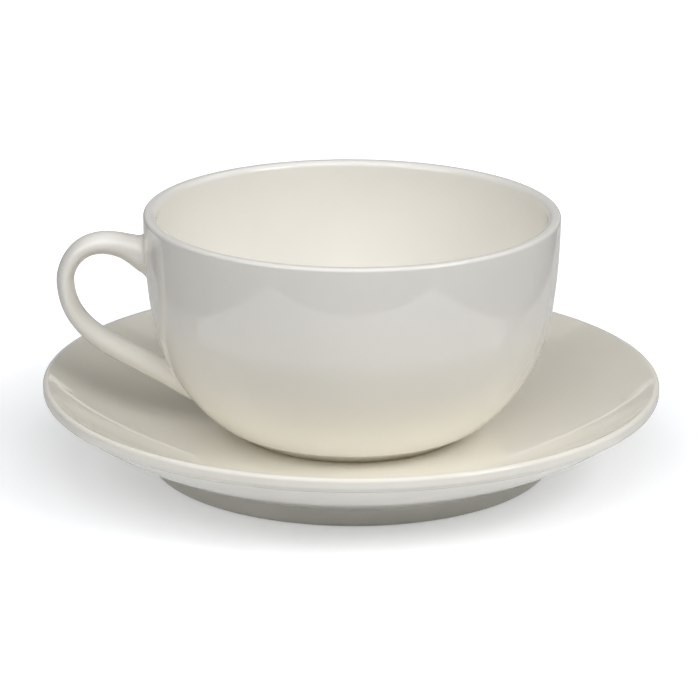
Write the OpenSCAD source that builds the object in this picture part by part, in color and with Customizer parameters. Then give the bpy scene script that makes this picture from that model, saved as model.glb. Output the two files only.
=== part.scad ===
// Teacup and saucer in glazed ceramic, standing together as they are served.
// The axis of the set is Z and the table is z = 0. The handle points along -X.
// Three formed pieces: the bowl of the cup, the handle luted to it, and the loose saucer.

/* [Saucer] */
// Diameter over the rim
saucer_d = 160; // [150:1:180]
// Height of the rim above the table
saucer_h = 22.5; // [20:0.5:26]
// Height of the upright rim, from its top to the crease under it
saucer_rim_t = 3.6; // [3:0.1:4.5]
// Radius of the rim's upper edge
rim_edge_r = 1.0; // [0.7:0.1:1.3]
// Diameter of the flat well that the cup stands in
well_d = 72; // [66:1:78]
// Height of the well above the table
well_z = 8.6; // [8:0.1:10]
// Outside diameter of the saucer's foot ring
saucer_foot_d = 105; // [96:1:110]
// Height of the straight part of that foot ring
saucer_foot_h = 3.6; // [3:0.1:4.5]
// Width of that foot ring
saucer_foot_w = 5.4; // [4:0.1:7]
// Slope of the underside where it leaves the foot ring, in degrees
underside_slope = 20; // [16:1:24]

/* [Cup] */
// Diameter over the lip
cup_d = 107; // [100:1:112]
// Height of the cup from its foot to its lip
cup_h = 58; // [54:1:64]
// Thickness of the wall and of the lip
wall_t = 3.2; // [2.6:0.1:4]
// Radius of the lip's outer edge
lip_edge_r = 0.9; // [0.6:0.1:1.2]
// Radius of the nearly upright wall, seen in section
wall_r = 175; // [150:5:220]
// Radius of the round shoulder below that wall
shoulder_r = 43.3; // [40:0.1:46]
// How far the wall has leaned in where the shoulder starts, in degrees
shoulder_start = 8.1; // [6:0.1:10]
// Radius of the inside corner between wall and floor
inner_corner_r = 30; // [26:1:34]
// Height of the inside floor above the cup's foot
floor_z = 5.6; // [5:0.1:8]
// Radius of the turn from the shoulder in under the bowl
base_turn_r = 8; // [7:0.5:9]
// Radius of the cove between that turn and the cup's foot ring
cup_cove = 0.7; // [0.5:0.1:1]
// Height of the cup's foot ring
cup_foot_h = 2.3; // [2.2:0.1:2.8]
// Width of the cup's foot ring
cup_foot_w = 3.6; // [3:0.1:5]

/* [Handle] */
// Reach of the handle's middle line from the axis
handle_reach = 73.9; // [70:0.1:76]
// Height of that farthest point above the cup's foot
handle_reach_z = 39.2; // [36:0.1:42]
// Height of the upper joint's middle above the cup's foot
upper_joint_z = 45.3; // [43:0.1:47]
// Rise of the handle as it leaves the upper joint, in degrees
upper_rise = 30; // [20:1:36]
// Slope of the straight lower leg, in degrees
leg_slope = 27.5; // [22:0.5:34]
// Thickness of the handle at its farthest point
handle_t = 4.5; // [4:0.1:6]
// Thickness of its two limbs
limb_t = 6.1; // [5:0.1:7]
// Width of the handle across the hand
handle_w = 8.4; // [7:0.1:10]
// Swelling of the upper joint over the limb's thickness
joint_swell = 3.0; // [1:0.1:4]
// Radius of the slip that is smoothed round both joints
slip_r = 1.4; // [0.6:0.1:2]

/* [Hidden] */
$fn = 96;

glaze_colour = [0.91, 0.89, 0.83];

// Steps of an arc in a revolved outline
arc_steps = 14;
corner_steps = 5;

// Saucer outline, worked out from the rim and the well
rim_fold_r = 1.5;
rim_c = [saucer_d / 2 - rim_edge_r, saucer_h - rim_edge_r];
rim_fold_c = [saucer_d / 2 - rim_fold_r, saucer_h - saucer_rim_t + rim_fold_r];
well_r = well_d / 2;
// The dish is the one arc that is level at the well and meets the rim's upper edge smoothly
dish_run = rim_c.x - well_r;
dish_rise = rim_c.y - well_z;
dish_r = (pow(dish_run, 2) + pow(dish_rise, 2) - pow(rim_edge_r, 2)) / (2 * (dish_rise + rim_edge_r));
dish_c = [well_r, well_z + dish_r];
dish_end = atan2(rim_c.y - dish_c.y, rim_c.x - dish_c.x);
// Where the rim folds under and leaves a fine crease against the underside
crease_angle = -85;
foot_fillet = 1.4;
foot_edge = 0.8;
saucer_foot_r = saucer_foot_d / 2;
saucer_foot_in = saucer_foot_r - saucer_foot_w;
saucer_recess_z = 4.4;
recess_fillet = 2.2;
recess_dome = 0.3;

// Cup outline: an upright arc, a tighter shoulder arc tangent to it, and the lip
cup_r = cup_d / 2;
lip_z = cup_h - wall_t / 2;
wall_c = [cup_r - wall_r, lip_z];
shoulder_c = wall_c + (wall_r - shoulder_r) * [cos(shoulder_start), -sin(shoulder_start)];
// The turn is tangent to the shoulder and ends level, above the foot ring
turn_z = cup_foot_h + base_turn_r;
shoulder_end = asin((shoulder_c.y - turn_z) / (shoulder_r - base_turn_r));
turn_c = [shoulder_c.x + (shoulder_r - base_turn_r) * cos(shoulder_end), turn_z];
// The inside corner is tangent to the inner wall and to the flat floor
inner_gap = wall_r - wall_t - inner_corner_r;
inner_drop = lip_z - floor_z - inner_corner_r;
inner_start = asin(inner_drop / inner_gap);
inner_c = [wall_c.x + inner_gap * cos(inner_start), floor_z + inner_corner_r];
// The foot ring stands where the cove has led down from the turn
cup_foot_r = turn_c.x - cup_cove;
cup_foot_round = 1.2;
cup_foot_edge = 0.5;
cup_foot_in = cup_foot_r - cup_foot_w;
cup_recess_z = 2.0;
cup_recess_fillet = 1.0;

// Handle: sides of the section, rings along its root, its bow, its drop and its leg
handle_sides = 28;
root_rings = 6;
slip_rings = 22;
bow_rings = 24;
leg_rings = 40;
// Share of the bow's curve that lies near the upper joint and has finer rings
slip_share = 0.16;
joint_root = 3.0;
upper_joint_r = 52;
bow_pull = 19.6;
crown_pull = 4.2;
drop_pull = 12.5;
leg_pull = 8.2;
leg_top = [55.2, 17.9];
lower_joint_r = 42;
// The leg meets the shoulder at a slant, so it runs on until its underside has reached the bowl too
leg_root = 9.8;
joint_reach = 5.5;
lower_swell = 0.9;
width_swell = 1.4;

// Points of an arc about c, from angle a0 to angle a1
function arc(c, r, a0, a1, n = arc_steps) =
    [for (i = [0:n]) let (a = a0 + (a1 - a0) * i / n) c + r * [cos(a), sin(a)]];

// Height of the fillet's middle is the top of the straight foot wall
function saucer_outline() =
    let (
        crease = rim_fold_c + rim_fold_r * [cos(crease_angle), sin(crease_angle)],
        fillet_c = [saucer_foot_r + foot_fillet, saucer_foot_h],
        fold = fillet_c + foot_fillet * [-sin(underside_slope), cos(underside_slope)],
        normal = [-sin(underside_slope), cos(underside_slope)],
        chord = crease - fold,
        under_r = (chord * chord) / (2 * (chord * normal)),
        under_c = fold + under_r * normal,
        crease_a = atan2(crease.y - under_c.y, crease.x - under_c.x),
        fold_a = atan2(fold.y - under_c.y, fold.x - under_c.x),
        inner_fillet_c = [saucer_foot_in - recess_fillet, saucer_recess_z - recess_fillet]
    )
    concat(
        [[0, well_z]],
        arc(dish_c, dish_r, -90, dish_end),
        arc(rim_c, rim_edge_r, dish_end + 180, 0),
        arc(rim_fold_c, rim_fold_r, 0, crease_angle),
        arc(under_c, under_r, crease_a, fold_a),
        arc(fillet_c, foot_fillet, 90 + underside_slope, 180, corner_steps),
        arc([saucer_foot_r - foot_edge, foot_edge], foot_edge, 0, -90, corner_steps),
        arc([saucer_foot_in + foot_edge, foot_edge], foot_edge, -90, -180, corner_steps),
        arc(inner_fillet_c, recess_fillet, 0, 90, corner_steps),
        [[0, saucer_recess_z + recess_dome]]
    );

// Outside of the bowl, from the lip to where the foot ring starts
function bowl_outside() =
    concat(
        arc(wall_c, wall_r, 0, -shoulder_start),
        arc(shoulder_c, shoulder_r, -shoulder_start, -shoulder_end),
        arc(turn_c, base_turn_r, -shoulder_end, -90)
    );

function bowl_outline() =
    concat(
        [[0, floor_z]],
        arc(inner_c, inner_corner_r, -90, -inner_start),
        arc(wall_c, wall_r - wall_t, -inner_start, 0),
        arc([cup_r - wall_t / 2, lip_z], wall_t / 2, 180, 90, corner_steps),
        arc([cup_r - lip_edge_r, cup_h - lip_edge_r], lip_edge_r, 90, 0, corner_steps),
        bowl_outside(),
        arc([turn_c.x, cup_foot_h - cup_cove], cup_cove, 90, 180, corner_steps),
        arc([cup_foot_r - cup_foot_round, cup_foot_round], cup_foot_round, 0, -90, corner_steps),
        arc([cup_foot_in + cup_foot_edge, cup_foot_edge], cup_foot_edge, -90, -180, corner_steps),
        arc([cup_foot_in - cup_recess_fillet, cup_recess_z - cup_recess_fillet],
            cup_recess_fillet, 0, 90, corner_steps),
        [[0, cup_recess_z]]
    );

// Cubic curve through a and d, drawn towards b and c
function cubic(a, b, c, d, t) =
    pow(1 - t, 3) * a + 3 * pow(1 - t, 2) * t * b + 3 * (1 - t) * t * t * c + pow(t, 3) * d;

// Slope of that curve
function cubic_slope(a, b, c, d, t) =
    3 * pow(1 - t, 2) * (b - a) + 6 * (1 - t) * t * (c - b) + 3 * t * t * (d - c);

// Middle line of the handle as [radius, height, slope] along its bow, its drop and its leg
function handle_line() =
    let (
        rise = [cos(upper_rise), sin(upper_rise)],
        lean = [-cos(leg_slope), -sin(leg_slope)],
        start = [upper_joint_r, upper_joint_z],
        far = [handle_reach, handle_reach_z],
        leg_end = leg_top + lean * ((leg_top.x - lower_joint_r) / cos(leg_slope) + leg_root),
        b1 = start + bow_pull * rise,
        b2 = far + [0, crown_pull],
        d1 = far - [0, drop_pull],
        d2 = leg_top - leg_pull * lean,
        bow_steps = concat(
            [for (i = [0:slip_rings - 1]) slip_share * i / slip_rings],
            [for (i = [0:bow_rings]) slip_share + (1 - slip_share) * i / bow_rings]
        )
    )
    concat(
        [for (i = [0:root_rings - 1])
            [start - joint_root * (1 - i / root_rings) * rise, rise]],
        [for (t = bow_steps) [cubic(start, b1, b2, far, t), cubic_slope(start, b1, b2, far, t)]],
        [for (i = [1:bow_rings]) let (t = i / bow_rings)
            [cubic(far, d1, d2, leg_top, t), cubic_slope(far, d1, d2, leg_top, t)]],
        [for (i = [1:leg_rings]) let (t = i / leg_rings)
            [leg_top + t * (leg_end - leg_top), lean]]
    );

// Running length at each point of a list
function run_lengths(pts, i = 0, run = 0) =
    i >= len(pts) ? [] :
    let (here = i == 0 ? 0 : run + norm(pts[i] - pts[i - 1]))
    concat([here], run_lengths(pts, i + 1, here));

// Bell that is 1 at a joint and dies away over joint_reach
function bell(s) = exp(-pow(s / joint_reach, 2));

// Arm from the middle of the bowl's nearer arc to a point, with that arc's radius
function bowl_arm(p) =
    let (
        flat = [norm([p.x, p.y]), p.z],
        on_wall = atan2(wall_c.y - flat.y, flat.x - wall_c.x) < shoulder_start
    )
    on_wall ? [flat - wall_c, wall_r] : [flat - shoulder_c, shoulder_r];

// Growth of the handle's side at point p, with way out n, towards the bowl: a round fillet in the
// distance from the bowl, which fades where the two surfaces already run the same way
function slip(p, n) =
    let (
        near = bowl_arm(p),
        out = near[0] / norm(near[0]),
        away = max(0, norm(near[0]) - near[1]),
        around = [p.x, p.y] / norm([p.x, p.y]),
        facing = n * [around.x * out.x, around.y * out.x, out.y],
        rise = slip_r - sqrt(pow(slip_r, 2) - pow(slip_r - min(slip_r, away), 2))
    )
    rise * min(1, 1 - facing);

// One ring of the handle about a point of its middle line
function handle_ring(p, along, half_t, half_w) =
    let (dir = along / norm(along), side = [-dir.y, dir.x])
    [for (k = [0:handle_sides - 1])
        let (
            a = 360 * k / handle_sides,
            across = [-side.x, 0, side.y] * cos(a),
            flank = [0, sin(a), 0],
            middle = [-p.x, 0, p.y],
            n = across / half_t + flank / half_w,
            grow = slip(middle + half_t * across + half_w * flank, n / norm(n))
        )
        middle + (half_t + grow) * across + (half_w + grow) * flank];

module handle_loft() {
    line = handle_line();
    run = run_lengths([for (p = line) p[0]]);
    joint = run[len(run) - 1] - leg_root;
    far = run[root_rings + slip_rings + bow_rings];
    rings = [for (i = [0:len(line) - 1])
        let (
            s = run[i],
            from_top = max(0, s - joint_root),
            from_end = max(0, joint - s),
            to_far = s < far ? s / far : from_end / (joint - far),
            thin = pow(sin(90 * to_far), 4),
            swell = joint_swell * bell(from_top) + lower_swell * bell(from_end),
            widen = width_swell * (bell(from_top) + bell(from_end)),
            half_t = (limb_t + (handle_t - limb_t) * thin + swell) / 2,
            half_w = (handle_w + widen) / 2
        )
        handle_ring(line[i][0], line[i][1], half_t, half_w)];
    last = len(rings) - 1;
    points = [for (ring = rings) each ring];
    sides = [for (i = [0:last - 1], k = [0:handle_sides - 1])
        let (
            a = i * handle_sides + k,
            b = i * handle_sides + (k + 1) % handle_sides,
            c = b + handle_sides,
            d = a + handle_sides
        )
        each [[a, b, c], [a, c, d]]];
    top_cap = [for (k = [handle_sides - 1:-1:0]) k];
    end_cap = [for (k = [0:handle_sides - 1]) last * handle_sides + k];
    polyhedron(points, concat(sides, [top_cap], [end_cap]), convexity = 6);
}

// Outside of the bowl as a filled solid, which the ends of the handle are cut to
module bowl_filled() {
    rotate_extrude()
        polygon(concat([[0, lip_z]], bowl_outside(), [[0, cup_foot_h]]));
}

module saucer() {
    color(glaze_colour)
        rotate_extrude()
            polygon(saucer_outline());
}

module cup_bowl() {
    color(glaze_colour)
        translate([0, 0, well_z])
            rotate_extrude()
                polygon(bowl_outline());
}

module cup_handle() {
    color(glaze_colour)
        translate([0, 0, well_z])
            difference() {
                handle_loft();
                bowl_filled();
            }
}

saucer();
cup_bowl();
cup_handle();
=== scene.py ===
"""Looks of a teacup and saucer in gloss ivory glaze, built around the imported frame.

Lengths of the pieces and of the camera's place are millimetres, as a potter would give them. Those of the
studio, and of every mesh, are metres. The axis of the set is Z, the table is z = 0 and the handle points
along -X.
"""
import logging
import math
from dataclasses import dataclass, field
from enum import Enum

import bpy
import numpy as np
from mathutils import Matrix, Vector
from numpy.typing import NDArray


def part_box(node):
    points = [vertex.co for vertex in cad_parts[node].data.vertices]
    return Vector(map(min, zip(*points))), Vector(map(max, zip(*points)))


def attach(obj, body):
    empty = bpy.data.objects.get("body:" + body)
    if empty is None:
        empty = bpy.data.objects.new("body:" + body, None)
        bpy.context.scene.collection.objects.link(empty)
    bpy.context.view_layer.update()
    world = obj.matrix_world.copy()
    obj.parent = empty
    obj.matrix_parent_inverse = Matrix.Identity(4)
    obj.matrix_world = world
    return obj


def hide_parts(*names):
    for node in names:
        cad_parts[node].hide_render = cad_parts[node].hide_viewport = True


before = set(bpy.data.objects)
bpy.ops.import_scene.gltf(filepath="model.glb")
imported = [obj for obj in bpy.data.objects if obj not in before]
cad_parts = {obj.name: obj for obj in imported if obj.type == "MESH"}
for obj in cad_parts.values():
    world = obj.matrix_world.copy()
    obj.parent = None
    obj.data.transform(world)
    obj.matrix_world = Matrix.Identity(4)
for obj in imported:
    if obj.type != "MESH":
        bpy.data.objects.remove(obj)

Grid = NDArray[np.float64]
Spot = tuple[float, float]
Point = tuple[float, float, float]
Colour = tuple[float, float, float]

MM = 0.001
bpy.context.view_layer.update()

log = logging.getLogger("teaset")


class Mark(Enum):
    """Marks kept on the mesh as attributes: a paler colour on edges, painted shade, and bare clay."""

    # a paler colour on the lip's and the rim's edges
    THIN = "glaze_thin"
    # painted shade: a darker colour laid in creases, recesses, the handle's joints and on the cup's foot
    PAINTED_SHADE = "glaze_pool"
    BARE = "bare_clay"


# Mesh helpers

MARK_FADE = {Mark.THIN: 1.6, Mark.PAINTED_SHADE: 0.7, Mark.BARE: 0.18}
OUTLINE_STEP = 0.9
SAME_POINT = 1e-6
ARC_POINTS = 10
FILLET_POINTS = 14
FOLD_POINTS = 16
EDGE_POINTS = 20
TURN_STEPS = 240


def closed_grid_faces(rings: int, sides: int) -> tuple[Grid, Grid]:
    """Faces of a tube of rings closed round its sides, with a pole vertex at each end.

    Args:
        rings: number of rings along the tube.
        sides: number of points round each ring.

    Returns:
        Quads between neighbouring rings, and a fan of triangles at the first and the last ring. The two
        poles are the vertices that follow the rings.
    """
    ring, side = np.meshgrid(np.arange(rings - 1), np.arange(sides), indexing="ij")
    after = (side + 1) % sides
    quads = np.stack(
        [ring * sides + side, ring * sides + after, (ring + 1) * sides + after, (ring + 1) * sides + side],
        axis=-1,
    ).reshape(-1, 4)
    k = np.arange(sides)
    k_after = (k + 1) % sides
    first, last = rings * sides, rings * sides + 1
    base = (rings - 1) * sides
    start_fan = np.column_stack([np.full(sides, first), k_after, k])
    end_fan = np.column_stack([np.full(sides, last), base + k, base + k_after])
    return quads, np.vstack([start_fan, end_fan])


def signed_volume(points: Grid, quads: Grid, fans: Grid) -> float:
    """Volume inside closed faces: the sum of the tetrahedra from the origin to each triangle.

    Args:
        points: the vertices, any number by three.
        quads: four corners a row, each cut into two triangles.
        fans: three corners a row.

    Returns:
        The volume, positive where the faces point outwards.
    """
    corners = np.vstack([quads[:, [0, 1, 2]], quads[:, [0, 2, 3]], fans])
    a, b, c = (points[corners[:, k]] for k in range(3))
    return float(np.einsum("ij,ij->i", a, np.cross(b, c)).sum() / 6)


def tube_object(name: str, grid: Grid, poles: Grid, marks: dict[Mark, Grid]) -> bpy.types.Object:
    """A closed smooth object from a grid of rings and two poles.

    Args:
        name: the piece's name.
        grid: points in millimetres, rings by sides by three.
        poles: the points that close the first and the last ring, two by three.
        marks: for each mark, its weight at each point of the grid, rings by sides.

    Returns:
        The object, at the origin, in metres, with outward faces and one attribute a mark.
    """
    rings, sides = grid.shape[:2]
    points = np.vstack([grid.reshape(-1, 3), poles]) * MM
    quads, fans = closed_grid_faces(rings, sides)
    if signed_volume(points, quads, fans) < 0:
        quads, fans = quads[:, ::-1], fans[:, ::-1]
    mesh = bpy.data.meshes.new(name)
    mesh.from_pydata(points.tolist(), [], quads.tolist() + fans.tolist())
    mesh.polygons.foreach_set("use_smooth", np.ones(len(mesh.polygons), bool))
    for mark in Mark:
        weights = marks.get(mark, np.zeros((rings, sides)))
        ends = [weights[0].mean(), weights[-1].mean()]
        layer = mesh.attributes.new(mark.value, "FLOAT", "POINT")
        layer.data.foreach_set("value", np.concatenate([weights.ravel(), ends]).astype(np.float32))
    mesh.update()
    piece = bpy.data.objects.new(name, mesh)
    bpy.context.scene.collection.objects.link(piece)
    return piece


@dataclass
class Outline:
    """A revolved outline in radius and height, drawn part by part from the axis back to the axis."""

    step: float = OUTLINE_STEP
    parts: list[Grid] = field(default_factory=list)
    notes: list[Mark | None] = field(default_factory=list)

    def line(self, start: Spot, end: Spot, mark: Mark | None = None) -> None:
        """Adds a straight stretch, with points about one step apart.

        Args:
            start: radius and height of its first point.
            end: radius and height of its last point.
            mark: the mark laid there, if any: a paler edge, painted shade, or bare clay.
        """
        count = max(2, math.ceil(math.dist(start, end) / self.step) + 1)
        share = np.linspace(0, 1, count)[:, None]
        self.parts.append((1 - share) * np.array(start) + share * np.array(end))
        self.notes.append(mark)

    def arc(
        self,
        centre: Spot,
        radius: float,
        start: float,
        end: float,
        mark: Mark | None = None,
        least: int = ARC_POINTS,
    ) -> None:
        """Adds an arc: the centre plus the radius times (cos a, sin a), for a from start to end.

        Args:
            centre: radius and height of the arc's centre.
            radius: the arc's own radius.
            start: angle of its first point, in degrees.
            end: angle of its last point, in degrees.
            mark: the mark laid there, if any: a paler edge, painted shade, or bare clay.
            least: the fewest points on it.
        """
        length = abs(math.radians(end - start)) * radius
        count = max(least, math.ceil(length / self.step) + 1)
        angle = np.radians(np.linspace(start, end, count))
        self.parts.append(np.array(centre) + radius * np.column_stack([np.cos(angle), np.sin(angle)]))
        self.notes.append(mark)

    def finished(self, soft: dict[Mark, float]) -> tuple[Grid, dict[Mark, Grid]]:
        """Joins the parts and spreads each mark a little along the outline.

        Args:
            soft: for each mark, the length over which it fades.

        Returns:
            The points with doubled ones dropped, and each mark's weight there: the marked stretches, averaged
            with a bell-shaped weight in the length along the outline.
        """
        points = np.vstack(self.parts)
        owner = np.repeat(np.arange(len(self.parts)), [len(part) for part in self.parts])
        gap = np.linalg.norm(np.diff(points, axis=0), axis=1)
        keep = np.concatenate([[True], gap > SAME_POINT])
        points, owner = points[keep], owner[keep]
        run = np.concatenate([[0.0], np.cumsum(np.linalg.norm(np.diff(points, axis=0), axis=1))])
        share = np.gradient(run)
        marks = {}
        for mark in Mark:
            flags = np.array([note is mark for note in self.notes], float)[owner]
            bell = np.exp(-(((run[:, None] - run[None]) / soft[mark]) ** 2)) * share[None]
            marks[mark] = (bell @ flags) / bell.sum(axis=1)
        return points, marks


def revolved(name: str, points: Grid, marks: dict[Mark, Grid], segments: int) -> bpy.types.Object:
    """A solid of revolution about Z: x = r cos t, y = r sin t and z = the outline's height.

    Args:
        name: the piece's name.
        points: the outline in radius and height, with its first and last point on the axis.
        marks: each mark's weight at the outline's points.
        segments: number of steps round the axis.

    Returns:
        The closed object.
    """
    turn = np.linspace(0, 2 * np.pi, segments, endpoint=False)
    radius, height = points[1:-1, 0][:, None], points[1:-1, 1][:, None]
    grid = np.stack(
        [radius * np.cos(turn), radius * np.sin(turn), height + np.zeros_like(turn)], axis=-1
    )
    poles = np.array([[0.0, 0.0, points[0, 1]], [0.0, 0.0, points[-1, 1]]])
    round_marks = {mark: np.repeat(w[1:-1, None], segments, axis=1) for mark, w in marks.items()}
    return tube_object(name, grid, poles, round_marks)


# Finish

NOISE_SPAN = (0.3, 0.7)


class NodeBench:
    """The node tree of a material or of the world, with short ways to add and link nodes."""

    def __init__(self, owner: bpy.types.Material | bpy.types.World) -> None:
        """Gives the owner an empty node tree.

        Args:
            owner: the material or the world.
        """
        self.owner = owner
        owner.use_nodes = True
        self.tree = owner.node_tree
        self.tree.nodes.clear()

    def add(self, kind: str, **settings: object) -> bpy.types.Node:
        """Adds a node.

        Args:
            kind: Blender's name for that kind of node.
            **settings: properties of the node, by name.

        Returns:
            The node.
        """
        node = self.tree.nodes.new(kind)
        for key, value in settings.items():
            setattr(node, key, value)
        return node

    def link(self, source: bpy.types.NodeSocket, target: bpy.types.NodeSocket) -> None:
        """Joins an output socket to an input socket."""
        self.tree.links.new(source, target)

    def feed(self, target: bpy.types.NodeSocket, value: bpy.types.NodeSocket | Colour | float) -> None:
        """Gives an input socket its value.

        Args:
            target: the input socket.
            value: a socket to link, or a colour or a number to set.
        """
        if isinstance(value, bpy.types.NodeSocket):
            self.link(value, target)
        elif isinstance(value, tuple):
            target.default_value = (*value, 1.0)
        else:
            target.default_value = value

    def output(self, shader: bpy.types.NodeSocket) -> None:
        """Joins a shader to the tree's surface."""
        kind = "World" if isinstance(self.owner, bpy.types.World) else "Material"
        self.link(shader, self.add(f"ShaderNodeOutput{kind}").inputs["Surface"])

    def noise(self, place: bpy.types.NodeSocket, scale: float, detail: float = 2.0) -> bpy.types.NodeSocket:
        """A soft noise.

        Args:
            place: the coordinates that it is read at.
            scale: cells a metre.
            detail: how many finer noises are laid over it.

        Returns:
            Its value.
        """
        node = self.add("ShaderNodeTexNoise")
        node.inputs["Scale"].default_value = scale
        node.inputs["Detail"].default_value = detail
        self.link(place, node.inputs["Vector"])
        return node.outputs["Fac"]

    def spread(
        self, value: bpy.types.NodeSocket, low: float, high: float, to_low: float, to_high: float
    ) -> bpy.types.NodeSocket:
        """Carries a value from one range to another in a straight line, held at the ends.

        Args:
            value: the value.
            low: start of its own range.
            high: end of its own range.
            to_low: what it becomes at the start.
            to_high: what it becomes at the end.

        Returns:
            The carried value.
        """
        node = self.add("ShaderNodeMapRange", clamp=True)
        limits = {"From Min": low, "From Max": high, "To Min": to_low, "To Max": to_high}
        for key, number in limits.items():
            node.inputs[key].default_value = number
        self.link(value, node.inputs["Value"])
        return node.outputs["Result"]

    def mark(self, mark: Mark) -> bpy.types.NodeSocket:
        """The weight of a mark on the surface."""
        node = self.add("ShaderNodeAttribute", attribute_type="GEOMETRY", attribute_name=mark.value)
        return node.outputs["Fac"]

    def maths(
        self, operation: str, first: bpy.types.NodeSocket, second: bpy.types.NodeSocket | float
    ) -> bpy.types.NodeSocket:
        """One step of arithmetic.

        Args:
            operation: Blender's name for it.
            first: the first value.
            second: the second value, or a number.

        Returns:
            The result.
        """
        node = self.add("ShaderNodeMath", operation=operation)
        self.link(first, node.inputs[0])
        self.feed(node.inputs[1], second)
        return node.outputs[0]

    def blend(
        self,
        share: bpy.types.NodeSocket | float,
        first: bpy.types.NodeSocket | Colour,
        second: bpy.types.NodeSocket | Colour,
        mode: str = "MIX",
    ) -> bpy.types.NodeSocket:
        """Mixes two colours.

        Args:
            share: the second colour's share, from 0 to 1.
            first: the first colour.
            second: the second colour.
            mode: Blender's name for the way they are mixed.

        Returns:
            The mixed colour.
        """
        node = self.add("ShaderNodeMix", data_type="RGBA", blend_type=mode)
        self.feed(node.inputs["Factor"], share)
        self.feed(node.inputs[6], first)
        self.feed(node.inputs[7], second)
        return node.outputs[2]

    def seen(self) -> bpy.types.NodeSocket:
        """Tells what is seen, directly, mirrored or through glass, from light that is thrown back.

        Returns:
            The largest of the three ray tests: 1 for what is seen and 0 for the rest.
        """
        rays = self.add("ShaderNodeLightPath").outputs
        mirrored = self.maths("MAXIMUM", rays["Is Glossy Ray"], rays["Is Transmission Ray"])
        return self.maths("MAXIMUM", rays["Is Camera Ray"], mirrored)


@dataclass(frozen=True)
class IvoryGlaze:
    """Gloss ivory glaze: paler on edges, with painted shade in hollows and on the cup's foot, and wiped off
    the ground feet.
    """

    body: Colour = (0.925, 0.902, 0.845)
    # the paler colour on edges
    pale_edge_colour: Colour = (0.93, 0.912, 0.865)
    # painted shade: the darker colour laid where the shade mark lies
    painted_shade_colour: Colour = (0.50, 0.43, 0.27)
    clay: Colour = (0.70, 0.655, 0.575)
    gloss_rough: float = 0.055
    clay_rough: float = 0.82
    refraction: float = 1.5
    tone_cells: float = 24.0
    tone_span: float = 0.022
    ripple_cells: float = 130.0
    ripple_height: float = 0.00002
    grain_cells: float = 2600.0
    grain_height: float = 0.00006
    ragged: float = 0.12
    bare_span: Spot = (0.42, 0.58)
    speck_shade: float = 0.84
    speck_span: Spot = (0.35, 0.75)

    def material(self, name: str) -> bpy.types.Material:
        """Builds the glaze as a node material.

        The colour starts from the body's, goes to a paler one on edges and, as painted shade, to a darker one
        in hollows, on the handle's joints and on the cup's foot, and drifts a little with a wide noise. A
        ragged mask takes colour and gloss to bare clay on the feet. A fine ripple in the glaze, and a grain
        in the clay, give the bump.

        Args:
            name: the material's name.

        Returns:
            The material.
        """
        bench = NodeBench(bpy.data.materials.new(name))
        place = bench.add("ShaderNodeTexCoord").outputs["Object"]
        drift = bench.noise(place, self.tone_cells)
        grain = bench.noise(place, self.grain_cells, detail=4.0)
        ripple = bench.noise(place, self.ripple_cells, detail=1.0)

        colour = bench.blend(bench.mark(Mark.THIN), self.body, self.pale_edge_colour)
        # painted shade: the darker colour where the shade mark lies, in creases, recesses, joints and on the
        # cup's foot
        colour = bench.blend(bench.mark(Mark.PAINTED_SHADE), colour, self.painted_shade_colour)
        tone = bench.spread(drift, *NOISE_SPAN, 1 - self.tone_span, 1 + self.tone_span)
        grey = bench.add("ShaderNodeCombineColor")
        for socket in grey.inputs:
            bench.link(tone, socket)
        colour = bench.blend(1.0, colour, grey.outputs[0], mode="MULTIPLY")

        fringe = bench.spread(grain, *NOISE_SPAN, -self.ragged, self.ragged)
        bare = bench.spread(bench.maths("ADD", bench.mark(Mark.BARE), fringe), *self.bare_span, 0.0, 1.0)
        specks = bench.spread(grain, *self.speck_span, 0.0, 1.0)
        speckled = bench.blend(specks, self.clay, tuple(self.speck_shade * c for c in self.clay))
        colour = bench.blend(bare, colour, speckled)

        shader = bench.add("ShaderNodeBsdfPrincipled")
        shader.inputs["IOR"].default_value = self.refraction
        bench.link(colour, shader.inputs["Base Color"])
        rough = bench.spread(bare, 0.0, 1.0, self.gloss_rough, self.clay_rough)
        bench.link(rough, shader.inputs["Roughness"])

        height = bench.add("ShaderNodeMix", data_type="FLOAT")
        bench.link(bare, height.inputs["Factor"])
        bench.link(bench.maths("MULTIPLY", ripple, self.ripple_height), height.inputs[2])
        bench.link(bench.maths("MULTIPLY", grain, self.grain_height), height.inputs[3])
        bump = bench.add("ShaderNodeBump")
        bump.inputs["Distance"].default_value = 1.0
        bench.link(height.outputs[0], bump.inputs["Height"])
        bench.link(bump.outputs["Normal"], shader.inputs["Normal"])
        bench.output(shader.outputs["BSDF"])
        return bench.owner


CUP_GLAZE = IvoryGlaze()
# the saucer's darker colour is painted shade in the crease under the rim and in the recess's fillet
SAUCER_GLAZE = IvoryGlaze(body=(0.95, 0.918, 0.825), pale_edge_colour=(0.95, 0.925, 0.85), painted_shade_colour=(0.74, 0.705, 0.64))


# Pieces


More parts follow.
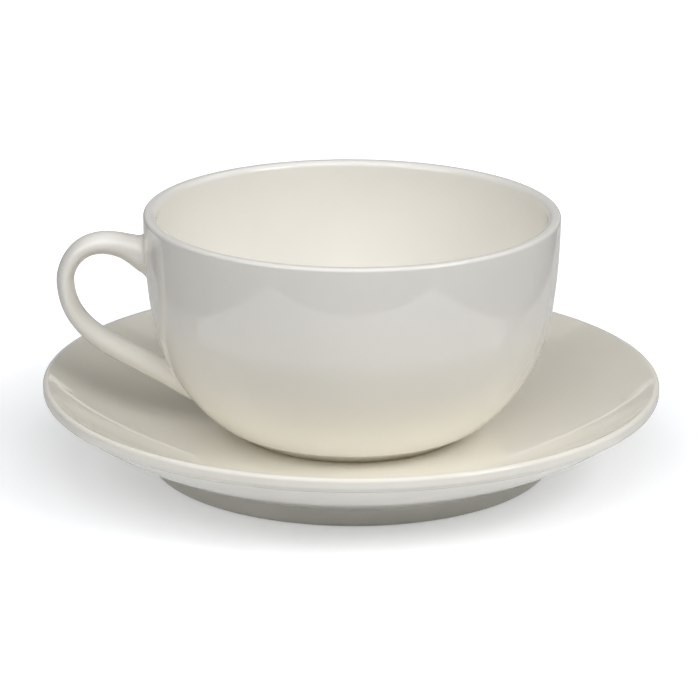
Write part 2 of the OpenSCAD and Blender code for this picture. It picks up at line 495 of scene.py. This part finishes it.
@dataclass
class Saucer:
    """The dish under the cup: flat well, dished side, upright rim, crease under it, and a foot ring.

    The painted shade in the crease, and the bare clay at the edges of the foot, start at angles on their
    arcs.
    """

    rim_r: float
    rim_z: float
    rim_t: float = 3.6
    rim_edge: float = 1.0
    rim_fold: float = 1.5
    well_r: float = 36.0
    well_z: float = 8.6
    foot_r: float = 52.5
    foot_h: float = 3.6
    foot_w: float = 5.4
    foot_fillet: float = 1.4
    foot_edge: float = 0.8
    recess_z: float = 4.4
    recess_fillet: float = 2.2
    recess_dome: float = 0.3
    under_slope: float = 20.0
    crease_angle: float = -85.0
    # angle on the fold's arc where the painted shade in the crease starts
    painted_shade_angle: float = -73.0
    bare_angle: float = -60.0

    @classmethod
    def from_frame(cls) -> "Saucer":
        """Takes the rim's reach and height from the frame's saucer."""
        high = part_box("saucer")[1]
        return cls(rim_r=min(high.x, high.y) / MM, rim_z=high.z / MM)

    def outline(self) -> Outline:
        """The section, from the middle of the well over the rim to the middle of the underside.

        The dish is the one arc that is level at the well and tangent to the rim's upper edge. The underside
        is the one arc that leaves the foot's fillet at the given slope and ends at the crease.

        Returns:
            The outline with its marks.
        """
        rim_c = np.array([self.rim_r, self.rim_z]) - self.rim_edge
        fold_c = np.array([self.rim_r - self.rim_fold, self.rim_z - self.rim_t + self.rim_fold])
        run, rise = rim_c - np.array([self.well_r, self.well_z])
        dish_r = (run**2 + rise**2 - self.rim_edge**2) / (2 * (rise + self.rim_edge))
        dish_c = np.array([self.well_r, self.well_z + dish_r])
        dish_end = math.degrees(math.atan2(*(rim_c - dish_c)[::-1]))
        lean = math.radians(self.under_slope)
        normal = np.array([-math.sin(lean), math.cos(lean)])
        turn = math.radians(self.crease_angle)
        crease = fold_c + self.rim_fold * np.array([math.cos(turn), math.sin(turn)])
        fillet_c = np.array([self.foot_r + self.foot_fillet, self.foot_h])
        fold = fillet_c + self.foot_fillet * normal
        chord = crease - fold
        under_r = chord @ chord / (2 * chord @ normal)
        under_c = fold + under_r * normal
        crease_a, fold_a = (math.degrees(math.atan2(*(p - under_c)[::-1])) for p in (crease, fold))
        foot_in = self.foot_r - self.foot_w
        outer_c = (self.foot_r - self.foot_edge, self.foot_edge)
        inner_c = (foot_in + self.foot_edge, self.foot_edge)
        recess_c = (foot_in - self.recess_fillet, self.recess_z - self.recess_fillet)

        made = Outline()
        made.line((0, self.well_z), (self.well_r, self.well_z))
        made.arc(tuple(dish_c), dish_r, -90, dish_end)
        made.arc(tuple(rim_c), self.rim_edge, dish_end + 180, 0, Mark.THIN, EDGE_POINTS)
        made.line((self.rim_r, rim_c[1]), (self.rim_r, fold_c[1]))
        made.arc(tuple(fold_c), self.rim_fold, 0, self.painted_shade_angle, least=FOLD_POINTS)
        # painted shade in the crease under the rim
        made.arc(tuple(fold_c), self.rim_fold, self.painted_shade_angle, self.crease_angle, Mark.PAINTED_SHADE)
        made.arc(tuple(under_c), under_r, crease_a, fold_a)
        made.arc(tuple(fillet_c), self.foot_fillet, 90 + self.under_slope, 180, least=FILLET_POINTS)
        made.line((self.foot_r, self.foot_h), (self.foot_r, self.foot_edge))
        made.arc(outer_c, self.foot_edge, 0, self.bare_angle)
        made.arc(outer_c, self.foot_edge, self.bare_angle, -90, Mark.BARE)
        made.line((outer_c[0], 0), (inner_c[0], 0), Mark.BARE)
        made.arc(inner_c, self.foot_edge, -90, -180 - self.bare_angle, Mark.BARE)
        made.arc(inner_c, self.foot_edge, -180 - self.bare_angle, -180)
        made.line((foot_in, self.foot_edge), (foot_in, recess_c[1]))
        # painted shade in the fillet of the recess under the well
        made.arc(recess_c, self.recess_fillet, 0, 90, Mark.PAINTED_SHADE, FILLET_POINTS)
        made.line((recess_c[0], self.recess_z), (0, self.recess_z + self.recess_dome))
        return made

    def build(self, glaze: bpy.types.Material) -> bpy.types.Object:
        """Makes the dish, dresses it and seats it on its body.

        Args:
            glaze: the saucer's finish.

        Returns:
            The dressed dish.
        """
        piece = revolved("saucer_dish", *self.outline().finished(MARK_FADE), TURN_STEPS)
        piece.data.materials.append(glaze)
        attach(piece, "saucer")
        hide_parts("saucer")
        return piece


@dataclass
class CupBowl:
    """The bowl: an upright wall, a round shoulder that turns in under it, a soft-edged lip and a foot ring.

    The bare clay at the foot's outer and inner edges starts at angles on their arcs.
    """

    lip_r: float
    lip_z: float
    stand_z: float
    wall_t: float = 3.2
    lip_edge: float = 0.9
    wall_r: float = 175.0
    shoulder_r: float = 43.3
    shoulder_start: float = 8.1
    corner_r: float = 30.0
    floor_z: float = 5.6
    turn_r: float = 8.0
    cove: float = 0.7
    foot_h: float = 2.3
    foot_w: float = 3.6
    foot_round: float = 1.2
    foot_edge: float = 0.5
    recess_z: float = 2.0
    recess_fillet: float = 1.0
    bare_outer: float = -60.0
    bare_inner: float = -130.0

    @classmethod
    def from_frame(cls) -> "CupBowl":
        """Takes the lip's reach, the lip's height and the height that the cup stands at from the frame."""
        low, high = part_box("cup_bowl")
        return cls(lip_r=min(high.x, high.y) / MM, lip_z=high.z / MM, stand_z=low.z / MM)

    @property
    def wall_c(self) -> Grid:
        """Middle of the wall's arc, in radius and height above the table."""
        return np.array([self.lip_r - self.wall_r, self.lip_z - self.wall_t / 2])

    @property
    def shoulder_c(self) -> Grid:
        """Middle of the shoulder's arc, on the wall's own radius where the two meet."""
        lean = math.radians(self.shoulder_start)
        return self.wall_c + (self.wall_r - self.shoulder_r) * np.array([math.cos(lean), -math.sin(lean)])

    def outside(self, points: Grid) -> tuple[Grid, Grid]:
        """How far points are outside the bowl, and which way is out there.

        Args:
            points: any number of points by three, in millimetres.

        Returns:
            The distance to the wall's arc, or to the shoulder's below it, and the outward unit vectors.
        """
        radius = np.hypot(points[..., 0], points[..., 1])
        flat = np.stack([radius, points[..., 2]], axis=-1)
        from_wall, from_shoulder = flat - self.wall_c, flat - self.shoulder_c
        low = np.degrees(np.arctan2(-from_wall[..., 1], from_wall[..., 0])) > self.shoulder_start
        arm = np.where(low[..., None], from_shoulder, from_wall)
        length = np.linalg.norm(arm, axis=-1)
        away = length - np.where(low, self.shoulder_r, self.wall_r)
        flat_out = arm / length[..., None]
        around = points[..., :2] / radius[..., None]
        out = np.concatenate([around * flat_out[..., :1], flat_out[..., 1:]], axis=-1)
        return away, out

    def outline(self) -> Outline:
        """The section, from the middle of the floor up the inside, over the lip and down to the foot.

        The inside's corner is tangent to the floor and to the wall's inner arc. The turn under the shoulder
        is tangent to the shoulder and level where the foot's cove starts.

        Returns:
            The outline with its marks.
        """
        base = self.stand_z
        lip_c = (self.lip_r - self.wall_t / 2, self.wall_c[1])
        edge_of_lip = (self.lip_r - self.lip_edge, self.lip_z - self.lip_edge)
        gap = self.wall_r - self.wall_t - self.corner_r
        corner_z = base + self.floor_z + self.corner_r
        inner_start = math.degrees(math.asin((lip_c[1] - corner_z) / gap))
        corner_c = (self.wall_c[0] + gap * math.cos(math.radians(inner_start)), corner_z)
        turn_gap = self.shoulder_r - self.turn_r
        turn_z = base + self.foot_h + self.turn_r
        turn_start = math.degrees(math.asin((self.shoulder_c[1] - turn_z) / turn_gap))
        turn_c = (self.shoulder_c[0] + turn_gap * math.cos(math.radians(turn_start)), turn_z)
        cove_c = (turn_c[0], base + self.foot_h - self.cove)
        foot_r = turn_c[0] - self.cove
        foot_in = foot_r - self.foot_w
        stand_c = (foot_r - self.foot_round, base + self.foot_round)
        edge_c = (foot_in + self.foot_edge, base + self.foot_edge)
        recess_c = (foot_in - self.recess_fillet, base + self.recess_z - self.recess_fillet)

        made = Outline()
        made.line((0, base + self.floor_z), (corner_c[0], base + self.floor_z))
        made.arc(corner_c, self.corner_r, -90, -inner_start)
        made.arc(tuple(self.wall_c), self.wall_r - self.wall_t, -inner_start, 0)
        made.arc(lip_c, self.wall_t / 2, 180, 90, Mark.THIN, EDGE_POINTS)
        made.arc(edge_of_lip, self.lip_edge, 90, 0, Mark.THIN, EDGE_POINTS)
        made.arc(tuple(self.wall_c), self.wall_r, 0, -self.shoulder_start)
        made.arc(tuple(self.shoulder_c), self.shoulder_r, -self.shoulder_start, -turn_start)
        made.arc(turn_c, self.turn_r, -turn_start, -90)
        made.arc(cove_c, self.cove, 90, 180)
        made.line((foot_r, cove_c[1]), (foot_r, stand_c[1]))
        # painted shade on the foot's outer round, down to the bare clay
        made.arc(stand_c, self.foot_round, 0, self.bare_outer, Mark.PAINTED_SHADE)
        made.arc(stand_c, self.foot_round, self.bare_outer, -90, Mark.BARE)
        made.line((stand_c[0], base), (edge_c[0], base), Mark.BARE)
        made.arc(edge_c, self.foot_edge, -90, self.bare_inner, Mark.BARE)
        made.arc(edge_c, self.foot_edge, self.bare_inner, -180)
        made.line((foot_in, edge_c[1]), (foot_in, recess_c[1]))
        made.arc(recess_c, self.recess_fillet, 0, 90)
        made.line((recess_c[0], base + self.recess_z), (0, base + self.recess_z))
        return made

    def build(self, glaze: bpy.types.Material) -> bpy.types.Object:
        """Makes the bowl, dresses it and seats it on the cup's body.

        Args:
            glaze: the cup's finish.

        Returns:
            The dressed bowl.
        """
        piece = revolved("cup_bowl_glazed", *self.outline().finished(MARK_FADE), TURN_STEPS)
        piece.data.materials.append(glaze)
        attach(piece, "cup")
        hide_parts("cup_bowl")
        return piece


@dataclass
class HandleSurface:
    """The side of the handle: an oval carried along its middle line.

    A point is the middle line's point, plus half the thickness times cos of the angle across the line, plus
    half the width times sin of the angle along Y.
    """

    run: Grid
    line: Grid
    half_t: Grid
    half_w: Grid

    def frame_at(self, length: Grid) -> tuple[Grid, Grid, Grid, Grid]:
        """What carries the oval, read off the middle line.

        Args:
            length: lengths along the handle, in an array of any shape.

        Returns:
            The middle point and the unit direction across the line, both as radius and height, then half the
            thickness and half the width.
        """
        slope = np.gradient(self.line, self.run, axis=0)
        place = np.stack([np.interp(length, self.run, self.line[:, k]) for k in range(2)], axis=-1)
        along = np.stack([np.interp(length, self.run, slope[:, k]) for k in range(2)], axis=-1)
        along = along / np.linalg.norm(along, axis=-1, keepdims=True)
        across = np.stack([-along[..., 1], along[..., 0]], axis=-1)
        half_t, half_w = (np.interp(length, self.run, half) for half in (self.half_t, self.half_w))
        return place, across, half_t, half_w

    def at(self, length: Grid, turn: Grid) -> Grid:
        """Points of the side.

        Args:
            length: lengths along the handle.
            turn: angles round it, in an array of the same shape.

        Returns:
            The points, with three numbers each.
        """
        place, across, half_t, half_w = self.frame_at(length)
        flat = place + (half_t * np.cos(turn))[..., None] * across
        return np.stack([-flat[..., 0], half_w * np.sin(turn), flat[..., 1]], axis=-1)

    def outward(self, length: Grid, turn: Grid) -> Grid:
        """Directions out of the oval: cos and sin of the angle, each divided by its own half size.

        Args:
            length: lengths along the handle.
            turn: angles round it, in an array of the same shape.

        Returns:
            Unit vectors square to the oval's edge.
        """
        _, across, half_t, half_w = self.frame_at(length)
        flat = (np.cos(turn) / half_t)[..., None] * across
        out = np.stack([-flat[..., 0], np.sin(turn) / half_w, flat[..., 1]], axis=-1)
        return out / np.linalg.norm(out, axis=-1, keepdims=True)

    def meets(self, bowl: CupBowl, turn: Grid, count: int = 1600) -> tuple[Grid, Grid]:
        """Lengths along the handle where each of its lines leaves the bowl and comes back to it.

        Args:
            bowl: the bowl that the handle joins.
            turn: the angle of each line.
            count: number of samples along a line.

        Returns:
            The first and the last length, each found between two samples by a straight-line crossing.
        """
        samples = np.linspace(0, self.run[-1], count)
        length = np.broadcast_to(samples[:, None], (count, len(turn)))
        away = bowl.outside(self.at(length, np.broadcast_to(turn, length.shape)))[0]
        columns = np.arange(len(turn))

        def crossing(inner: Grid, outer: Grid) -> Grid:
            """Length where the distance passes zero, in a straight line between two samples.

            Args:
                inner: number of the sample inside the bowl, for each line.
                outer: number of the sample outside it.

            Returns:
                The length for each line.
            """
            d_in, d_out = away[inner, columns], away[outer, columns]
            share = -d_in / (d_out - d_in)
            return samples[inner] + share * (samples[outer] - samples[inner])

        first_out = np.argmax(away > 0, axis=0)
        last_out = count - 1 - np.argmax(away[::-1] > 0, axis=0)
        return crossing(first_out - 1, first_out), crossing(last_out + 1, last_out)


@dataclass
class CupHandle:
    """The loop handle: a bow, a drop and a straight leg, smoothed into the bowl with slip at both joints.

    Heights are above the cup's foot, and the middle line lies in the plane through the axis and -X.
    """

    bowl: CupBowl
    reach: float = 73.9
    reach_z: float = 39.2
    upper_r: float = 52.0
    upper_z: float = 45.3
    upper_rise: float = 30.0
    leg_top: Spot = (55.2, 17.9)
    leg_slope: float = 27.5
    lower_r: float = 42.0
    root: float = 3.0
    leg_root: float = 9.8
    bow_pull: float = 19.6
    crown_pull: float = 4.2
    drop_pull: float = 12.5
    leg_pull: float = 8.2
    thick: float = 4.5
    limb_thick: float = 6.1
    wide: float = 8.4
    upper_swell: float = 3.0
    lower_swell: float = 0.9
    side_swell: float = 1.4
    swell_reach: float = 5.5
    slip_up: float = 2.4
    slip_out: float = 1.5
    # painted shade in the slip fillets at the joints
    slip_painted_shade: float = 0.1
    sides: int = 96
    rings: int = 170
    slip_rings: int = 12
    sink: float = 0.5

    def middle_line(self, count: int = 240) -> Grid:
        """The middle line as radius and height: two cubic curves and a straight leg.

        Args:
            count: points on each of the three stretches.

        Returns:
            The points, starting and ending inside the bowl's wall.
        """
        rise = math.radians(self.upper_rise)
        fall = math.radians(self.leg_slope)
        up = np.array([math.cos(rise), math.sin(rise)])
        lean = np.array([-math.cos(fall), -math.sin(fall)])
        start, far = np.array([self.upper_r, self.upper_z]), np.array([self.reach, self.reach_z])
        leg = np.array(self.leg_top)
        end = leg + lean * ((leg[0] - self.lower_r) / math.cos(fall) + self.leg_root)

        def cubic(a: Grid, b: Grid, c: Grid, d: Grid) -> Grid:
            """Cubic curve through a and d, drawn towards b and c."""
            t = np.linspace(0, 1, count)[:, None]
            return (1 - t) ** 3 * a + 3 * (1 - t) ** 2 * t * b + 3 * (1 - t) * t**2 * c + t**3 * d

        bow = cubic(start, start + self.bow_pull * up, far + [0, self.crown_pull], far)
        drop = cubic(far, far - [0, self.drop_pull], leg - self.leg_pull * lean, leg)
        straight = leg + np.linspace(0, 1, count)[:, None] * (end - leg)
        return np.vstack([[start - self.root * up], bow, drop[1:], straight[1:]])

    def surface(self) -> HandleSurface:
        """The handle's side as a surface of the length along it and the angle round it.

        The thickness goes from the limbs' to the waist's with the fourth power of a sine that is 1 at the far
        point and 0 at the joints. A bell-shaped swell at each joint adds to thickness and width.

        Returns:
            The surface, with its middle line above the table.
        """
        line = self.middle_line()
        run = np.concatenate([[0.0], np.cumsum(np.linalg.norm(np.diff(line, axis=0), axis=1))])
        joint, far = run[-1] - self.leg_root, run[int(np.argmax(line[:, 0]))]
        from_top, from_end = np.maximum(0, run - self.root), np.maximum(0, joint - run)
        share = np.where(run < far, run / far, from_end / (joint - far))
        waist = np.sin(np.pi / 2 * share) ** 4
        top = np.exp(-((from_top / self.swell_reach) ** 2))
        end = np.exp(-((from_end / self.swell_reach) ** 2))
        thick = self.limb_thick + (self.thick - self.limb_thick) * waist
        half_t = (thick + self.upper_swell * top + self.lower_swell * end) / 2
        half_w = (self.wide + self.side_swell * (top + end)) / 2
        return HandleSurface(run, line + [0, self.bowl.stand_z], half_t, half_w)

    def slip(self, side: HandleSurface, meet: Grid, turn: Grid, inward: int) -> tuple[Grid, Grid]:
        """The fillet of slip at one joint.

        For each line along the handle, a quadratic curve runs from the handle's side to the bowl, drawn
        towards the point where the two meet, so it is tangent to both.

        Args:
            side: the handle's side.
            meet: length along the handle where each of its lines meets the bowl.
            turn: angle of each of its lines.
            inward: -1 where the bowl is at the start of the handle, 1 where it is at the end.

        Returns:
            The fillet's rings from the handle to the bowl, ending with one sunk in the wall, and the pole
            that closes it.
        """
        start = side.at(meet - inward * self.slip_up, turn)
        corner = side.at(meet, turn)
        away, out = self.bowl.outside(corner)
        corner = corner - away[:, None] * out
        spread = side.outward(meet, turn)
        spread = spread - (spread * out).sum(axis=1, keepdims=True) * out
        spread /= np.linalg.norm(spread, axis=1, keepdims=True)
        edge = corner + self.slip_out * spread
        away, out = self.bowl.outside(edge)
        edge = edge - away[:, None] * out
        t = np.linspace(0, 1, self.slip_rings + 1)[1:, None, None]
        rings = (1 - t) ** 2 * start + 2 * t * (1 - t) * corner + t**2 * edge
        sunk = edge + self.sink * (spread - 2 * out)
        pole = sunk.mean(axis=0) - self.sink * out.mean(axis=0)
        return np.concatenate([rings, sunk[None]]), pole

    def build(self, glaze: bpy.types.Material) -> bpy.types.Object:
        """Makes the handle with its slip, dresses it and seats it on the cup's body.

        The painted shade on the slip is strongest half way along each fillet and fades to nothing at its
        ends.

        Args:
            glaze: the cup's finish.

        Returns:
            The dressed handle.
        """
        side = self.surface()
        turn = np.linspace(0, 2 * np.pi, self.sides, endpoint=False)
        first, last = side.meets(self.bowl, turn)
        share = np.linspace(0, 1, self.rings)[:, None]
        length = (1 - share) * (first + self.slip_up) + share * (last - self.slip_up)
        body = side.at(length, np.broadcast_to(turn, length.shape))
        upper, upper_pole = self.slip(side, first, turn, inward=-1)
        lower, lower_pole = self.slip(side, last, turn, inward=1)
        grid = np.concatenate([upper[::-1], body, lower])
        slip = np.linspace(0, 1, len(upper))
        # painted shade at the joints: nothing at both ends of each fillet, strongest half way
        joint_painted_shade = np.concatenate([slip[::-1], np.zeros(self.rings), slip])
        joint_painted_shade = self.slip_painted_shade * np.repeat((1 - np.abs(2 * joint_painted_shade - 1))[:, None], self.sides, axis=1)
        poles = np.array([upper_pole, lower_pole])
        piece = tube_object("cup_handle_glazed", grid, poles, {Mark.PAINTED_SHADE: joint_painted_shade})
        piece.data.materials.append(glaze)
        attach(piece, "cup")
        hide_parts("cup_handle")
        return piece


# Studio

CARD_LIFT = 0.0006


@dataclass(frozen=True)
class PhotoCamera:
    """The camera, at the photograph's place: in front of the set, above it and looking down at it.

    The focal length is in the photograph's pixels, and the reach of its view is in metres.
    """

    image_w: int = 700
    focal_px: float = 3187.0
    distance: float = 788.5
    height: float = 282.7
    side: float = -0.35
    pitch: float = 17.807
    roll: float = 0.32
    sensor: float = 36.0
    view_reach: Spot = (0.01, 50.0)

    def build(self) -> bpy.types.Object:
        """Makes the camera, tilted down by its pitch and then turned by its roll, and gives it to the scene.

        Returns:
            The camera.
        """
        data = bpy.data.cameras.new("photo_camera")
        data.sensor_fit = "HORIZONTAL"
        data.sensor_width = self.sensor
        data.lens = self.focal_px * self.sensor / self.image_w
        data.clip_start, data.clip_end = self.view_reach
        camera = bpy.data.objects.new("photo_camera", data)
        down, tilt = math.radians(self.pitch), math.radians(self.roll)
        right = Vector((1, 0, 0))
        up = Vector((0, math.sin(down), math.cos(down)))
        right, up = (
            right * math.cos(tilt) + up * math.sin(tilt),
            up * math.cos(tilt) - right * math.sin(tilt),
        )
        back = right.cross(up)
        turned = Matrix((right, up, back)).transposed().to_4x4()
        turned.translation = Vector((self.side, -self.distance, self.height)) * MM
        camera.matrix_world = turned
        bpy.context.scene.collection.objects.link(camera)
        bpy.context.scene.camera = camera
        return camera


@dataclass(frozen=True)
class Softbox:
    """A square soft lamp on a sphere about the set, aimed at it.

    The azimuth runs from the camera's side round by the right, in degrees.
    """

    name: str
    azimuth: float
    elevation: float
    side: float
    power: float
    distance: float = 1.2
    aim: Point = (0.0, 0.0, 0.035)
    mirrored: bool = True

    def build(self) -> bpy.types.Object:
        """Makes the lamp, turned so that it shines at its aim.

        Returns:
            The lamp.
        """
        turn, rise = math.radians(self.azimuth), math.radians(self.elevation)
        way = Vector((math.cos(rise) * math.sin(turn), -math.cos(rise) * math.cos(turn), math.sin(rise)))
        data = bpy.data.lights.new(self.name, "AREA")
        data.shape = "SQUARE"
        data.size = self.side
        data.energy = self.power
        lamp = bpy.data.objects.new(self.name, data)
        lamp.location = self.distance * way
        lamp.rotation_euler = (Vector(self.aim) - lamp.location).to_track_quat("-Z", "Y").to_euler()
        lamp.visible_camera = False
        lamp.visible_glossy = self.mirrored
        bpy.context.scene.collection.objects.link(lamp)
        return lamp


@dataclass(frozen=True)
class Flag:
    """A flat card of an even grey that only reflections meet: it shapes what the glaze mirrors."""

    name: str
    corners: tuple[Point, Point, Point, Point]
    shade: float

    def build(self) -> bpy.types.Object:
        """Makes the card as a stage piece.

        Returns:
            The card.
        """
        mesh = bpy.data.meshes.new(self.name)
        mesh.from_pydata([list(c) for c in self.corners], [], [[0, 1, 2, 3]])
        flag = bpy.data.objects.new(self.name, mesh)
        bench = NodeBench(bpy.data.materials.new(self.name))
        glow = bench.add("ShaderNodeEmission")
        glow.inputs["Strength"].default_value = self.shade
        bench.output(glow.outputs[0])
        mesh.materials.append(bench.owner)
        flag.visible_camera = flag.visible_diffuse = flag.visible_shadow = False
        bpy.context.scene.collection.objects.link(flag)
        return flag


def wall(name: str, start: Spot, end: Spot, span: Spot, shade: float) -> Flag:
    """An upright flag above a line on the table, from one height to another."""
    low, high = span
    return Flag(name, ((*start, low), (*end, low), (*end, high), (*start, high)), shade)


def skirt(name: str, low: Spot, high: Spot, shade: float) -> Flag:
    """A flag lying on the table, between two opposite corners."""
    z = CARD_LIFT
    return Flag(name, ((*low, z), (high[0], low[1], z), (*high, z), (low[0], high[1], z)), shade)


@dataclass
class Studio:
    """A pale table, a white surround, soft lamps round the set, and flags for its glaze to mirror.

    The room is as far as the flags reach behind the set and to its sides. Strips of light stand just before
    its back. The aisle is half the width between the flags that lie on the table left and right of the set.
    """

    table_half: float = 6.0
    table_drop: float = 0.0002
    table_colour: Colour = (0.82, 0.835, 0.86)
    table_grey: Colour = (0.32, 0.325, 0.335)
    grey_span: Spot = (0.13, 0.2)
    table_lift: Spot = (0.36, 1.0)
    lift_span: Spot = (0.085, 0.22)
    room: float = 2.5
    room_front: float = -1.2
    room_span: Spot = (0.0, 3.0)
    back_half: float = 3.0
    strip_y: float = 2.4
    strip_half: float = 0.45
    strip_end: float = 1.6
    strip_span: Spot = (0.36, 0.395)
    side_strip_span: Spot = (0.37, 0.5)
    aisle: float = 0.148
    aisle_front: float = -0.175
    aisle_back: float = -0.02
    softboxes: tuple[Softbox, ...] = (
        Softbox("front_top", 0, 60, 1.0, 7.4),
        Softbox("right_front", 56, 40, 0.5, 4.5),
        Softbox("right_side", 105, 36, 0.66, 1.3),
        Softbox("left_front", 310, 36, 0.66, 3.1),
        Softbox("left_side", 265, 36, 0.66, 0.2),
        Softbox("back_fill", 180, 7, 0.66, 3.2, mirrored=False),
    )

    def flags(self) -> tuple[Flag, ...]:
        """The flags: dark walls far off, strips of light behind the set, and greys on the table round it.

        Returns:
            The flags, not yet built.
        """
        far, end, mid, y = self.room, self.strip_end, self.strip_half, self.strip_y
        side = self.aisle
        return (
            wall("back_flag", (-self.back_half, far), (self.back_half, far), self.room_span, 0.21),
            wall("left_flag", (-far, self.room_front), (-far, far), self.room_span, 0.03),
            wall("right_flag", (far, far), (far, self.room_front), self.room_span, 0.02),
            wall("back_strip", (-mid, y), (mid, y), self.strip_span, 1.1),
            wall("left_strip", (-end, y), (-mid, y), self.side_strip_span, 0.7),
            wall("right_strip", (mid, y), (end, y), self.side_strip_span, 0.9),
            skirt("left_skirt", (-far, -far), (-side, far), 0.16),
            skirt("right_skirt", (side, -far), (far, far), 0.24),
            skirt("front_skirt", (-side, -far), (side, self.aisle_front), 0.035),
            skirt("back_left_skirt", (-side, self.aisle_back), (0.0, far), 0.52),
            skirt("back_right_skirt", (0.0, self.aisle_back), (side, far), 0.6),
        )

    def table(self) -> bpy.types.Object:
        """The table: a flat sheet just under the foot, painted pale near the set and grey further off.

        Where it is seen, directly or mirrored, it is lifted towards white, and fully so away from the set, so
        the set's shadow stays on it.

        Returns:
            The sheet.
        """
        half, z = self.table_half, -self.table_drop
        corners = [(-half, -half, z), (half, -half, z), (half, half, z), (-half, half, z)]
        mesh = bpy.data.meshes.new("table")
        mesh.from_pydata(corners, [], [[0, 1, 2, 3]])
        table = bpy.data.objects.new("table", mesh)
        bench = NodeBench(bpy.data.materials.new("table_white"))
        length = bench.add("ShaderNodeVectorMath", operation="LENGTH")
        bench.link(bench.add("ShaderNodeTexCoord").outputs["Object"], length.inputs[0])
        reach = length.outputs["Value"]
        paint = bench.add("ShaderNodeBsdfDiffuse")
        away = bench.spread(reach, *self.grey_span, 0.0, 1.0)
        bench.link(bench.blend(away, self.table_colour, self.table_grey), paint.inputs["Color"])
        lift = bench.add("ShaderNodeEmission")
        white = bench.spread(reach, *self.lift_span, *self.table_lift)
        bench.link(bench.maths("MULTIPLY", bench.seen(), white), lift.inputs["Strength"])
        both = bench.add("ShaderNodeAddShader")
        bench.link(paint.outputs[0], both.inputs[0])
        bench.link(lift.outputs[0], both.inputs[1])
        bench.output(both.outputs[0])
        mesh.materials.append(bench.owner)
        bpy.context.scene.collection.objects.link(table)
        return table

    def world(self) -> None:
        """The surround: white where it is seen, directly or mirrored, and no light on the set."""
        bench = NodeBench(bpy.data.worlds.new("surround"))
        white = bench.add("ShaderNodeBackground")
        white.inputs["Color"].default_value = (1.0, 1.0, 1.0, 1.0)
        bench.link(bench.seen(), white.inputs["Strength"])
        bench.output(white.outputs[0])
        bpy.context.scene.world = bench.owner

    def build(self) -> None:
        """Sets up table, surround, lamps and flags, with plain colour handling."""
        bpy.context.scene.view_settings.view_transform = "Standard"
        self.table()
        self.world()
        for fitting in (*self.softboxes, *self.flags()):
            fitting.build()


def main() -> None:
    """Builds the camera, the three pieces and the studio."""
    logging.basicConfig(level=logging.INFO, format="%(name)s: %(message)s")
    PhotoCamera().build()
    cup_glaze = CUP_GLAZE.material("cup_glaze")
    saucer_glaze = SAUCER_GLAZE.material("saucer_glaze")
    bowl = CupBowl.from_frame()
    saucer = Saucer.from_frame()
    for piece in (saucer.build(saucer_glaze), bowl.build(cup_glaze), CupHandle(bowl).build(cup_glaze)):
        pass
    Studio().build()


if __name__ == "__main__":
    main()
